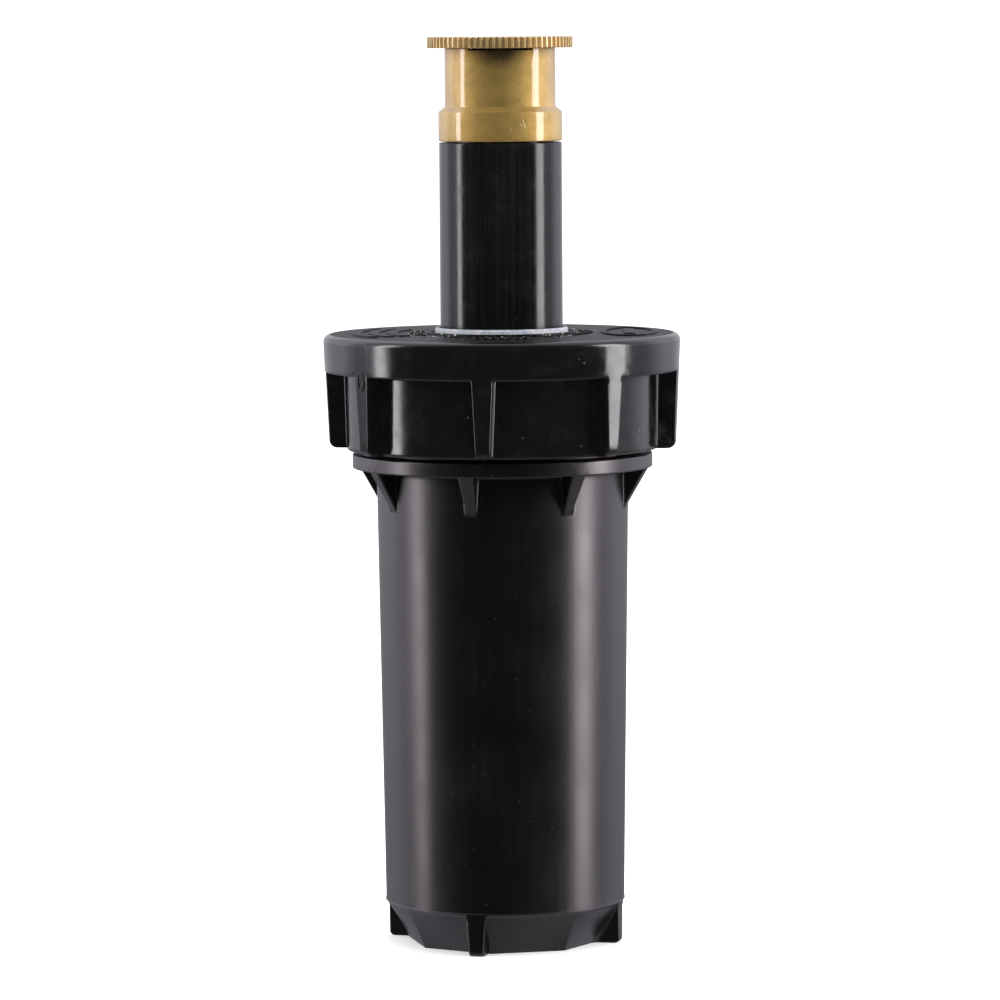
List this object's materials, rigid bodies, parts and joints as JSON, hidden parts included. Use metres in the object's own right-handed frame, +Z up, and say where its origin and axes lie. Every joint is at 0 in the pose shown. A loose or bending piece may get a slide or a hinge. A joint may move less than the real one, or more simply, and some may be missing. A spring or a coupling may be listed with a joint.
{
  "type": "pop-up sprinkler",
  "caption": "Upright pop-up lawn sprinkler: ribbed screw cap on a threaded plastic body, spring-retracted riser and brass nozzle with a knurled disc.",
  "frame": {"origin": "centre of the underside of the body's base", "axes": "+Z up along the riser, -Y towards the viewer of the watered side"},
  "size_m": [0.06, 0.06, 0.1524],
  "materials": {
    "body_plastic": "satin moulded plastic with a fine texture",
    "cap_plastic": "glossy moulded plastic",
    "riser_plastic": "polished moulded plastic",
    "seal_elastomer": "smooth grey elastomer",
    "inner_plastic": "satin moulded plastic",
    "black_rubber": "smooth rubber",
    "stainless": "bright stainless steel",
    "acetal": "natural acetal",
    "brass": "turned brass"
  },
  "bodies": {
    "body_group": {"body": "body_plastic"},
    "seal_pack": {"wiper_seal": "seal_elastomer", "seal_retainer": "inner_plastic", "spring_washer": "stainless", "cap_o_ring": "black_rubber"},
    "cap_group": {"cap": "cap_plastic"},
    "carriage": {"ratchet_ring": "inner_plastic", "retraction_spring": "stainless"},
    "riser_group": {"riser_stem": "riser_plastic", "ratchet_clutch": "acetal", "thrust_washer": "acetal", "check_seal_carrier": "acetal", "check_seal": "black_rubber"},
    "filter_group": {"filter_basket": "acetal", "filter_mesh": "stainless", "nozzle_gasket": "black_rubber"},
    "nozzle_group": {"nozzle_body": "brass", "nozzle_disc": "brass"},
    "screw_seal": {"screw_o_ring": "black_rubber"},
    "screw_group": {"adjusting_screw": "stainless"}
  },
  "joints": [
    {"name": "cap_lift", "type": "slide", "parent": "body_group", "child": "seal_pack", "axis": [0, 0, 1], "range_m": [0, 0.00702]},
    {"name": "cap_turn", "type": "hinge", "parent": "seal_pack", "child": "cap_group", "pos_m": [0, 0, 0.095], "axis": [0, 0, 1], "range_deg": [0, 720]},
    {"name": "riser_slide", "type": "slide", "parent": "seal_pack", "child": "carriage", "axis": [0, 0, 1], "range_m": [-0.0463, 0], "deforming": ["retraction_spring"]},
    {"name": "riser_turn", "type": "hinge", "parent": "carriage", "child": "riser_group", "pos_m": [0, 0, 0.07], "axis": [0, 0, 1], "continuous": true},
    {"name": "nozzle_lift", "type": "slide", "parent": "riser_group", "child": "filter_group", "axis": [0, 0, 1], "range_m": [0, 0.00361]},
    {"name": "nozzle_turn", "type": "hinge", "parent": "filter_group", "child": "nozzle_group", "pos_m": [0, 0, 0.142], "axis": [0, 0, 1], "range_deg": [0, 1080]},
    {"name": "screw_feed", "type": "slide", "parent": "nozzle_group", "child": "screw_seal", "axis": [0, 0, 1], "range_m": [-0.001, 0.0005]},
    {"name": "screw_turn", "type": "hinge", "parent": "screw_seal", "child": "screw_group", "pos_m": [0, 0, 0.148], "axis": [0, 0, 1], "range_deg": [-450.5, 225.5]}
  ],
  "couplings": [
    {"joint": "cap_lift", "follows": "cap_turn", "m_per_rad": 0.00055704},
    {"joint": "nozzle_lift", "follows": "nozzle_turn", "m_per_rad": 0.00019099},
    {"joint": "screw_turn", "follows": "screw_feed", "rad_per_m": 7854}
  ]
}
